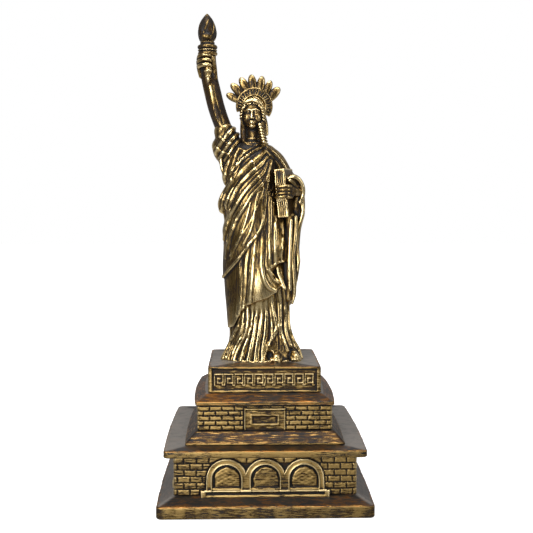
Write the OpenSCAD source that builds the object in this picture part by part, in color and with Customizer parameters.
// Antique-gold statuette: a robed figure with a torch and a tablet, on a stepped brick pedestal.
// The cast pedestal tiers are stacked on one threaded rod that pulls the figure down on them.
// Millimetres. Origin: centre of the felt's underside. +Z up, the figure faces -Y.

/* [Pedestal widths] */
// Width of the foot slab
foot_w = 129; // [126:1:132]
// Width of the lower brick tier
lower_w = 110; // [106:1:111]
// Width of the cornice slab
cornice_w = 121; // [118:1:123]
// Width of the skirt below the upper brick tier
skirt_w = 97; // [94:1:99]
// Width of the upper brick tier
upper_w = 83; // [81:1:84]
// Width of the plinth block that the figure stands on
plinth_w = 70; // [68:1:72]

/* [Pedestal heights] */
// Height of the lower brick tier
lower_h = 24; // [23.5:0.5:26]
// Height of the cornice slab
cornice_h = 4.5; // [4.5:0.5:6]
// Height of the skirt
skirt_h = 7.5; // [6:0.5:9]
// Height of the upper brick tier
upper_h = 15.5; // [15.5:0.5:18]
// Height of the shoulder moulding
shoulder_h = 6.5; // [5.5:0.5:7.5]
// Height of the plinth block
plinth_h = 16; // [15:0.5:18]

/* [Casting] */
// Wall thickness of the hollow tiers
wall = 3; // [2.5:0.5:4]
// Play between pieces that locate in each other
play = 0.2; // [0.1:0.05:0.3]
// How far the bricks stand out of the wall
brick_relief = 0.5; // [0.3:0.1:0.8]

/* [Figure] */
// Size of the figure against its nominal 220 mm
figure_scale = 1; // [0.95:0.01:1]

/* [Hidden] */

gold = [0.66, 0.50, 0.22];
dark_gold = [0.40, 0.31, 0.17];
steel = [0.62, 0.63, 0.65];

// Levels of the stack, from the felt up
felt_t = 1;
foot_h = 10.5;
rim_gap = 0.3;
felt_w = foot_w - 6;
foot_top = felt_t + foot_h;
lower_top = foot_top + lower_h;
cornice_top = lower_top + cornice_h;
skirt_top = cornice_top + skirt_h;
upper_top = skirt_top + upper_h;
shoulder_top = upper_top + shoulder_h;
plinth_top = shoulder_top + plinth_h;

// Fasteners
rod_r = 2.5;
rod_hole_r = 2.8;
rod_bottom = 4.5;
rod_grip = 12;
nut_h = 4;
nut_across_corners = 9.2;
washer_h = 1;
washer_r = 7.5;
well_r = 10;
well_top = 11;
screw_r = 1.35;
screw_spread = 48;
foot_hollow_w = 104;
plate_t = 1.5;
plate_w = 111.6;

// Brick pattern
course_lower = 4;
course_upper = 3;
brick_l_lower = 7.5;
brick_l_upper = 7.4;
joint = 0.7;

// Locating rings between the tiers
spigot_h = 2;
spigot_t = 3;
plinth_wall = wall + 0.5;

// ---------- shared shapes ----------

// Closed skin through rings of points, listed bottom to top, each counter-clockwise from above
module skin(rings) {
    n = len(rings[0]);
    m = len(rings);
    polyhedron(
        points = [for (r = rings) each r],
        faces = concat(
            [[for (i = [0:n - 1]) i]],
            [for (k = [0:m - 2], i = [0:n - 1])
                let (j = (i + 1) % n) each [
                    [k * n + i, (k + 1) * n + i, (k + 1) * n + j],
                    [k * n + i, (k + 1) * n + j, k * n + j]]],
            [[for (i = [n - 1:-1:0]) (m - 1) * n + i]]));
}

// Square plan whose two side walls bow out, as the draft of a front-and-back mould leaves them
function bowed_plan(w, bow, z) = let (h = w / 2, n = 6) concat(
    [for (i = [0:n]) let (y = -h + w * i / n) [h + bow * (1 - pow(y / h, 2)), y, z]],
    [for (i = [0:n]) let (y = h - w * i / n) [-h - bow * (1 - pow(y / h, 2)), y, z]]);

// Moulded slab from a profile of [height, width] pairs
module moulding(profile, bow) {
    skin([for (p = profile) bowed_plan(p[1], bow, p[0])]);
}

// Square bar centred on the axis, from z0 to z1
module square_bar(w, z0, z1) {
    translate([-w / 2, -w / 2, z0]) cube([w, w, z1 - z0]);
}

// Square locating ring that drops inside the wall of the next tier
module spigot(w, z0, z1) {
    difference() {
        square_bar(w, z0, z1);
        square_bar(w - 2 * spigot_t, z0 - 1, z1 + 1);
    }
}

module bore(r, z0, z1) {
    translate([0, 0, z0]) cylinder(r = r, h = z1 - z0, $fn = 48);
}

module on_four_sides() {
    for (a = [0:90:270]) rotate([0, 0, a]) children();
}

// Running-bond courses on one face, drawn in X-Y and centred on X; keep_out is a half width left bare
module brick_courses(w, h, course, brick_l, keep_out, bare_from, bare_to) {
    courses = floor(h / course);
    step = h / courses;
    for (k = [0:courses - 1]) {
        shift = k % 2 == 0 ? 0 : brick_l / 2;
        bare = k * step < bare_to && (k + 1) * step > bare_from ? keep_out : 0;
        first = -ceil(w / 2 / brick_l) - 1;
        for (i = [first:-first]) {
            x0 = max(-w / 2, i * brick_l + shift + joint / 2);
            x1 = min(w / 2, (i + 1) * brick_l + shift - joint / 2);
            if (x1 - x0 > 1.2 && (x1 < -bare || x0 > bare))
                translate([x0, k * step + joint / 2]) square([x1 - x0, step - joint]);
        }
    }
}

// Stands a flat relief against the wall that faces -Y, its foot at height z0
module wall_relief(half, z0, proud) {
    translate([0, -half, z0]) rotate([90, 0, 0]) linear_extrude(proud) children();
}

// ---------- pedestal ----------

// The felt lies in a shallow recess, so that the slab's rim all but reaches the table
module felt_outline(w) {
    polygon([for (p = bowed_plan(w, 1, 0)) [p[0], p[1]]]);
}

module felt_pad() {
    color([0.10, 0.09, 0.08]) linear_extrude(felt_t) felt_outline(felt_w);
}

module base_plate() {
    color([0.35, 0.27, 0.19]) difference() {
        square_bar(plate_w, felt_t, felt_t + plate_t);
        for (x = [-1, 1], y = [-1, 1]) translate([x * screw_spread, y * screw_spread, 0]) {
            translate([0, 0, felt_t]) cylinder(r1 = 2.95, r2 = 1.6, h = 1.35, $fn = 32);
            bore(1.6, felt_t, felt_t + plate_t);
        }
    }
}

module plate_screws() {
    color(steel) for (x = [-1, 1], y = [-1, 1])
        translate([x * screw_spread, y * screw_spread, felt_t]) {
            difference() {
                cylinder(r1 = 2.8, r2 = screw_r, h = 1.3, $fn = 32);
                for (a = [0, 90]) rotate([0, 0, a]) cube([3, 0.5, 1.2], center = true);
            }
            translate([0, 0, 1.3]) cylinder(r = screw_r, h = 3.7, $fn = 32);
        }
}

module foot_slab() {
    inner = lower_w - 2 * wall - play;
    color(dark_gold) difference() {
        union() {
            moulding([
                [rim_gap, foot_w - 1.4], [rim_gap + 0.7, foot_w], [foot_top - 4.2, foot_w],
                [foot_top - 3.7, foot_w - 1], [foot_top, lower_w + 1]], 1);
            spigot(inner, foot_top - 1, foot_top + spigot_h);
            bore(well_r + 3, foot_top - 1, well_top + wall);
        }
        translate([0, 0, -1]) linear_extrude(felt_t + 1) felt_outline(felt_w + 2 * play);
        square_bar(plate_w + 2 * play, 0, felt_t + plate_t);
        difference() {
            square_bar(foot_hollow_w, felt_t, foot_top - wall);
            for (x = [-1, 1], y = [-1, 1])
                translate([x * screw_spread, y * screw_spread, 0]) bore(4.5, felt_t + plate_t, foot_top);
        }
        for (x = [-1, 1], y = [-1, 1])
            translate([x * screw_spread, y * screw_spread, 0])
                bore(screw_r + 0.05, felt_t, foot_top - 1.6);
        bore(well_r, felt_t, well_top);
        bore(rod_hole_r, felt_t, well_top + 2 * wall);
    }
}

// Three arches in relief, each an archivolt on two legs, standing on one sill
arch_r = 12.3;
arch_band = 3.5;
arch_pitch = 23.2;
arch_spring = 10.1;
sill_w = 78;
sill_h = 3.5;
sill_proud = 2.4;

module arch_outline(r) {
    intersection() {
        translate([0, arch_spring]) circle(r = r, $fn = 64);
        translate([-r, arch_spring]) square([2 * r, r]);
    }
    translate([-r, sill_h - 0.5]) square([2 * r, arch_spring - sill_h + 0.6]);
}

module arcade() {
    difference() {
        for (i = [-1:1]) translate([i * arch_pitch, 0]) arch_outline(arch_r);
        for (i = [-1:1]) translate([i * arch_pitch, 0]) arch_outline(arch_r - arch_band);
    }
}

module lower_tier() {
    half = lower_w / 2 - brick_relief;
    color(gold) difference() {
        union() {
            square_bar(2 * half, foot_top, lower_top);
            on_four_sides() {
                wall_relief(half - 0.1, foot_top, brick_relief + 0.1)
                    brick_courses(lower_w, lower_h, course_lower, brick_l_lower, 37.5, 0, 20);
                wall_relief(half - 0.1, foot_top, 1.7) arcade();
                wall_relief(half - 0.1, foot_top, sill_proud)
                    translate([-sill_w / 2, 0]) square([sill_w, sill_h]);
            }
        }
        square_bar(lower_w - 2 * wall, foot_top - 1, lower_top + 1);
    }
}

module cornice_slab() {
    color(dark_gold) difference() {
        union() {
            moulding([
                [lower_top, cornice_w - 1.2], [lower_top + 0.6, cornice_w],
                [cornice_top - 0.7, cornice_w], [cornice_top, cornice_w - 1.6]], 1.2);
            spigot(lower_w - 2 * wall - play, lower_top - spigot_h, lower_top + 1);
            spigot(upper_w - 2 * wall - play, cornice_top - 1, cornice_top + spigot_h);
        }
        square_bar(lower_w - 4 * wall, lower_top - spigot_h - 1, cornice_top - wall);
        bore(rod_hole_r, 0, cornice_top + 10);
    }
}

// Raised frame with a sunk rectangle inside it
panel_w = 25.5;
panel_h = 13.6;

module panel() {
    difference() {
        translate([-panel_w / 2, 0]) square([panel_w, panel_h]);
        translate([-8, 3.8]) square([16, 5.8]);
    }
}

module upper_tier() {
    half = upper_w / 2 - brick_relief;
    color(gold) difference() {
        union() {
            moulding([
                [cornice_top, skirt_w], [cornice_top + 0.9, skirt_w],
                [skirt_top - 0.5, upper_w + 1.6], [skirt_top, upper_w - 1]], 1);
            square_bar(2 * half, skirt_top - 1, upper_top);
            on_four_sides() {
                wall_relief(half - 0.1, skirt_top, brick_relief + 0.1)
                    brick_courses(upper_w, upper_h, course_upper, brick_l_upper, 13, 0, 14);
                wall_relief(half - 0.1, skirt_top, 1) panel();
            }
        }
        square_bar(upper_w - 2 * wall, cornice_top - 1, upper_top + 1);
    }
}

module shoulder_moulding() {
    color(dark_gold) difference() {
        union() {
            moulding([
                [upper_top, upper_w + 2.5], [upper_top + 2.2, upper_w + 2.5],
                [upper_top + 2.7, upper_w + 0.6], [shoulder_top, plinth_w + 1.4]], 1.8);
            spigot(upper_w - 2 * wall - play, upper_top - spigot_h, upper_top + 1);
            spigot(plinth_w - 2 * plinth_wall - play, shoulder_top - 1, shoulder_top + spigot_h);
        }
        square_bar(plinth_w - 4 * plinth_wall, upper_top - spigot_h - 1, shoulder_top - wall);
        bore(rod_hole_r, 0, shoulder_top + 10);
    }
}

// Plinth block: raised frame on every face, and a shallow seat for the plaque on the front
frame_side = 2.4;
frame_edge = 1.1;
frame_proud = 0.7;
plaque_w = 62;
plaque_h = 10;
plaque_seat = 0.6;

module frame_outline() {
    difference() {
        translate([-plinth_w / 2, 0]) square([plinth_w, plinth_h]);
        translate([-plinth_w / 2 + frame_side, frame_edge])
            square([plinth_w - 2 * frame_side, plinth_h - 2 * frame_edge]);
    }
}

module plinth_block() {
    half = plinth_w / 2 - frame_proud;
    inner = plinth_w - 2 * plinth_wall;
    color(gold) difference() {
        union() {
            square_bar(2 * half, shoulder_top, plinth_top);
            on_four_sides() wall_relief(half - 0.1, shoulder_top, frame_proud + 0.1) frame_outline();
        }
        square_bar(inner, shoulder_top - 1, plinth_top - wall);
        bore(rod_hole_r, shoulder_top, plinth_top + 1);
        translate([-(plaque_w + play) / 2, -half - 1, shoulder_top + 2.4])
            cube([plaque_w + play, 1 + plaque_seat, plaque_h + play]);
    }
}

// One turn of a running key ornament, 6 mm long
module key_unit(h) {
    t = 1;
    polygon([
        [0, 0], [t, 0], [t, h - t], [4.2, h - t], [4.2, 2.6], [3.2, 2.6], [3.2, h - 2.4],
        [2.2, h - 2.4], [2.2, 1.6], [5, 1.6], [5, h - t], [6, h - t], [6, h], [0, h]]);
}

module ornament_plaque() {
    face = plinth_w / 2 - frame_proud - plaque_seat;
    color(gold) {
        translate([-plaque_w / 2, -face - 0.8, shoulder_top + 2.5]) cube([plaque_w, 0.8, plaque_h]);
        wall_relief(face + 0.7, shoulder_top + 3.8, 0.8)
            for (i = [0:9]) translate([-30 + 6 * i, 0]) key_unit(7.4);
    }
}

// ---------- tie rod and its fittings ----------

module tie_rod() {
    end = plinth_top + rod_grip;
    color(steel) {
        bore(rod_r, rod_bottom + 0.5, end - 0.5);
        translate([0, 0, rod_bottom]) cylinder(r1 = rod_r - 0.5, r2 = rod_r, h = 0.5, $fn = 48);
        translate([0, 0, end - 0.5]) cylinder(r1 = rod_r, r2 = rod_r - 0.5, h = 0.5, $fn = 48);
    }
}

module tie_nut() {
    z0 = well_top - washer_h - nut_h;
    color(steel) difference() {
        translate([0, 0, z0]) cylinder(d = nut_across_corners, h = nut_h, $fn = 6);
        bore(rod_r + 0.05, z0 - 1, z0 + nut_h + 1);
    }
}

module tie_washer() {
    color(steel) difference() {
        bore(washer_r, well_top - washer_h, well_top);
        bore(rod_r + 0.15, well_top - washer_h - 1, well_top + 1);
    }
}

// ---------- figure, in its own frame: z = 0 on the plinth ----------

module on_plinth() {
    translate([0, 0, plinth_top]) scale(figure_scale) children();
}

// Ball at [x, y, z] of radius p[3]
module ball(p, grow = 0) {
    translate([p[0], p[1], p[2]]) sphere(r = p[3] + grow, $fn = 20);
}

// Smooth limb through balls
module limb(path, grow = 0) {
    for (i = [0:len(path) - 2]) hull() {
        ball(path[i], grow);
        ball(path[i + 1], grow);
    }
}

disc_r = 13.8;
disc_h = 4;

module anchor_disc() {
    color(steel) on_plinth() difference() {
        translate([0, 0, 0.5]) cylinder(r = disc_r, h = disc_h, $fn = 64);
        translate([0, 0, -1]) cylinder(r = rod_r + 0.05, h = disc_h + 3, $fn = 48);
    }
}

// Robe stations: height, centre x, centre y, half width, half depth, depth of the folds
robe = [
    [0, -0.8, 0, 27, 20, 0.9], [2, -0.8, 0, 26.4, 19.6, 1.3], [6, -0.4, 0, 24.3, 18.2, 1.3],
    [11, -1.2, 0, 22, 17, 1.2], [18, -2.6, 0, 20.6, 16.2, 1.1], [33, -3.2, 0, 21, 16.2, 1],
    [45, -2.8, 0.2, 22.6, 16.8, 1], [60, -3, 0.5, 23.4, 17.2, 1], [76, -4, 0.8, 22.8, 17.4, 0.9],
    [90, -6, 1, 21.4, 17, 0.9], [100, -7.6, 1, 21, 16.6, 0.9], [110, -8, 1, 18.6, 15.6, 0.8],
    [120, -8, 1, 18.2, 14.4, 0.7], [128, -8, 1, 17.6, 12.4, 0.5], [134, -8, 1, 14.6, 10, 0.3],
    [138, -7.6, 0.4, 10.4, 7.8, 0.1], [141, -6.6, -0.4, 6.6, 6, 0]
];
robe_levels = 44;
robe_points = 72;
robe_folds = 18;

function station(z, k) = lookup(z, [for (s = robe) [s[0], s[k]]]);

function robe_ring(z) = [for (i = [0:robe_points - 1]) let (
    a = 360 * i / robe_points,
    fold = station(z, 5) * cos(robe_folds * a + 2.2 * z) * (0.75 + 0.25 * cos(5 * a)))
    [station(z, 1) + (station(z, 3) + fold) * cos(a), station(z, 2) + (station(z, 4) + fold) * sin(a), z]];

// Raised sleeve, its hanging folds, the far arm and the cloth that falls from it
sleeve = [[-19, 1, 133, 8.4], [-22.5, 0.5, 141, 8], [-25.6, 0, 147, 6.6]];
sleeve_back = [[-22, 5, 132, 7.5], [-27, 4, 137, 6.6]];
sleeve_folds = [[-20, 1, 126, 8], [-21, 1, 116, 7], [-21.6, 1, 101, 7.6], [-15, 1, 90, 8]];
far_arm = [[4, 2, 132, 7.5], [11, 4, 124, 7], [16, 5, 114, 6.6], [20, 4, 108, 6.2]];
cascade = [
    [20, 5, 108, 6], [20.4, 5, 94, 5.2], [18, 4.5, 78, 5], [17.6, 4, 60, 5], [15.6, 3, 44, 4.4],
    [15, 2, 36, 3.6]];
arm = [
    [-21.5, -0.5, 137, 5], [-24, -1.2, 145, 5.5], [-28, -1.5, 155, 5.5], [-31.5, -1.8, 167, 5.2],
    [-33.4, -2, 178, 4.8], [-34.6, -2.2, 186, 4.5]
];
fist = [[-35.4, -3.2, 188.4, 5.5], [-35.7, -3.6, 192.4, 5.4]];

module robe_solid() {
    skin([for (k = [0:robe_levels]) robe_ring(141 * k / robe_levels)]);
    limb(sleeve);
    limb(sleeve_back);
    limb(sleeve_folds);
    limb(far_arm);
    limb(cascade);
    // sandalled toes under the hem
    limb([[9, -15, 2.2, 2.2], [9.4, -19.6, 1.9, 1.8]]);
    limb([[20, -14, 2.2, 2.2], [21.4, -18.4, 1.9, 1.8]]);
}

neck = [-6.2, -2];

module robed_body() {
    color(gold) on_plinth() difference() {
        robe_solid();
        // hollow core of the casting, open at the foot for the anchor disc
        translate([0, 0, -1]) cylinder(r = disc_r + 0.1, h = disc_h + 1.5, $fn = 48);
        translate([-1, 0, -1]) scale([1.4, 1, 1]) cylinder(r1 = 11.6, r2 = 11, h = 60, $fn = 40);
        translate([-4, 0.5, 58]) scale([1.4, 1, 1]) cylinder(r1 = 11, r2 = 6, h = 66, $fn = 40);
        // sockets for the pieces fitted to it
        limb(arm, 0.12);
        translate([neck[0], neck[1], 133]) cylinder(r = 4.4, h = 20, $fn = 32);
        tablet_block(0.12);
        limb(hand_palm, 0.12);
        // flat foot on the plinth
        translate([-50, -50, -20]) cube([100, 100, 20]);
    }
}

torch_x = -35.6;
torch_y = -5.2;
handle_r = 1.9;

module raised_arm() {
    color(gold) on_plinth() difference() {
        union() {
            limb(arm);
            limb(fist);
            // fingers closed round the handle, and the thumb
            for (k = [0:3]) hull() {
                ball([-38.6, -6.2, 187.4 + 2.1 * k, 1.5]);
                ball([-33.2, -8, 187 + 2.1 * k, 1.4]);
            }
            limb([[-31.6, -5, 188.6, 1.8], [-32, -7.6, 192.8, 1.6]]);
        }
        translate([torch_x, torch_y, 170]) cylinder(r = handle_r + 0.1, h = 40, $fn = 32);
        translate([torch_x, torch_y, 170]) cylinder(r = 3.2, h = 16.1, $fn = 32);
    }
}

// Torch: handle, two-ring gallery and a socket for the flame
module torch() {
    color(gold) on_plinth() translate([torch_x, torch_y, 0]) difference() {
        rotate_extrude($fn = 64) polygon([
            [0, 186.2], [handle_r, 186.2], [handle_r, 194.2], [3.2, 194.6], [5.4, 195.8], [5.7, 196.8],
            [5.5, 198], [4.9, 198.5], [5.8, 199.2], [6, 200.4], [5.7, 201.4], [4.6, 202], [4.4, 202.8],
            [0, 202.8]]);
        translate([0, 0, 198.6]) cylinder(r = 1.65, h = 10, $fn = 32);
        translate([0, 0, 180]) cylinder(r = 1.05, h = 9, $fn = 32);
    }
}

module torch_finial() {
    color(gold) on_plinth() translate([torch_x, torch_y, 0]) rotate_extrude($fn = 48) polygon([
        [0, 176.8], [0.5, 177], [1.5, 179.6], [2.6, 182.6], [3, 184.4], [2.5, 185.8], [1.9, 186.2],
        [1, 186.2], [1, 188.8], [0, 188.8]]);
}

// Flame: a five-lobed bulb twisting to a point, on a pin
flame_r = [
    [202.8, 3.6], [204, 4.8], [206.5, 5.6], [209, 5.8], [212, 5.4], [215, 4.4], [218, 2.7], [220, 1.1],
    [220.5, 0.4]];

module flame() {
    color(gold) on_plinth() translate([torch_x, torch_y, 0]) {
        translate([0, 0, 198.8]) cylinder(r = 1.6, h = 6, $fn = 32);
        skin([for (z = [202.8:0.983:220.5]) [for (i = [0:39]) let (
            a = 9 * i,
            r = lookup(z, flame_r) * (1 + 0.05 * cos(5 * a - 7 * (z - 203))))
            [r * cos(a) + 0.05 * (z - 203), r * sin(a), z]]]);
    }
}

// ---------- head and crown ----------

head_c = [-6.6, -2.6, 160];
crown_c = [-5.9, -3.6, 163];
crown_tilt = 76;

module at_crown() {
    translate(crown_c) rotate([-crown_tilt, 0, 0]) children();
}

// Diadem section, drawn as [radius, depth]: a broad band standing up round the hair
band = [[8, -0.9], [8.7, -1.1], [10.7, -0.7], [11.1, 0.1], [10.9, 0.8], [8.4, 0.8], [8, 0.4]];

module crown_sector(sweep, grow = 0) {
    rotate([0, 0, -90 - sweep / 2]) rotate_extrude(angle = sweep, $fn = 96)
        offset(delta = grow) polygon(band);
}

module egg(c, s, grow = 0) {
    translate(c) scale([s[0] + grow, s[1] + grow, s[2] + grow]) sphere(r = 1, $fn = 32);
}

module head() {
    color(gold) on_plinth() difference() {
        union() {
            egg([-6.6, -3.6, 157.4], [5.6, 8, 9]);
            egg(head_c + [0, 1.6, 2], [8.2, 8.4, 9.4]);
            // rolls of hair beside the face, the knot behind and the lock on the shoulder
            limb([[-12.8, -4, 163, 2.6], [-14, -1.5, 156, 2.4], [-12.6, 1, 150, 2.4]]);
            limb([[-0.4, -4, 163, 2.6], [0.8, -1.5, 156, 2.4], [0.6, 0, 150, 2.4]]);
            limb([[1.4, -2, 151, 2.2], [2.4, -4, 146, 2.2]]);
            limb([[-6.4, 8, 160, 4.6], [-6.4, 9.4, 155, 4]]);
            // nose and chin
            hull() {
                ball([-6.6, -11.4, 159.6, 0.7]);
                ball([-6.6, -12.4, 156, 1]);
            }
            ball([-6.6, -9.2, 150.6, 2.2]);
            translate([neck[0], neck[1], 134]) cylinder(r = 4.25, h = 20, $fn = 32);
        }
        at_crown() crown_sector(228, 0.1);
    }
}

module diadem() {
    color(gold) on_plinth() at_crown() difference() {
        crown_sector(220);
        // windows cut through the band
        for (a = [-96:12:96]) rotate([0, 0, a - 90]) translate([9.7, 0, 0])
            cube([1.2, 1, 4], center = true);
    }
}

// Each ray: the angle of its root round the crown, then the x and z of its tip
rays = [
    [-73, -23.2, 171.9], [-48, -20.6, 177.6], [-25, -14.8, 181.6], [-4, -7.9, 183.3],
    [19, -0.8, 182.4], [42, 4.6, 179.6], [66, 10.3, 175.3]
];
ray_sizes = [[0, 1.5], [0.42, 2.2], [0.95, 0.8]];

function ray_root(a, r = 10.4, lift = 2) = crown_c + [
    r * sin(a),
    lift * sin(crown_tilt) - r * cos(a) * cos(crown_tilt),
    lift * cos(crown_tilt) + r * cos(a) * sin(crown_tilt)];

module ray_crown() {
    color(gold) on_plinth() {
        // ring behind the diadem that carries the rays
        at_crown() rotate([0, 0, -90 - 88]) rotate_extrude(angle = 176, $fn = 96)
            polygon([[9.8, 0.85], [11, 0.85], [11.3, 1.8], [10.7, 2.4], [9.8, 2.2]]);
        for (r = rays) let (root = ray_root(r[0]), tip = [r[1], root[1] + 1.2, r[2]]) hull()
            for (s = ray_sizes) translate(root + (tip - root) * s[0])
                scale([1, 0.5, 1]) sphere(r = s[1], $fn = 16);
    }
}

// ---------- tablet and the hand that holds it ----------

module tablet_block(grow = 0) {
    translate([14, -5.4, 107.4]) rotate([0, -5, -19])
        cube([7 + 2 * grow, 19 + 2 * grow, 31 + 2 * grow], center = true);
}

hand_palm = [[20.6, -3, 108.6, 3.2], [20.2, -9, 108.6, 2.8]];

module tablet() {
    color(dark_gold) on_plinth() tablet_block();
}

module tablet_hand() {
    color(gold) on_plinth() difference() {
        union() {
            limb(hand_palm);
            for (k = [0:3]) limb([
                [19.6, -11, 104.8 + 2.4 * k, 1.4], [15.6, -15.4, 104.4 + 2.4 * k, 1.3],
                [9.4, -15.2, 104 + 2.4 * k, 1.2]]);
            limb([[21, -8, 111, 1.6], [19.6, -11, 115, 1.3]]);
        }
        tablet_block(0.1);
    }
}

felt_pad();
base_plate();
plate_screws();
foot_slab();
lower_tier();
cornice_slab();
upper_tier();
shoulder_moulding();
plinth_block();
ornament_plaque();
tie_rod();
tie_nut();
tie_washer();
anchor_disc();
robed_body();
raised_arm();
torch();
torch_finial();
flame();
head();
diadem();
ray_crown();
tablet();
tablet_hand();
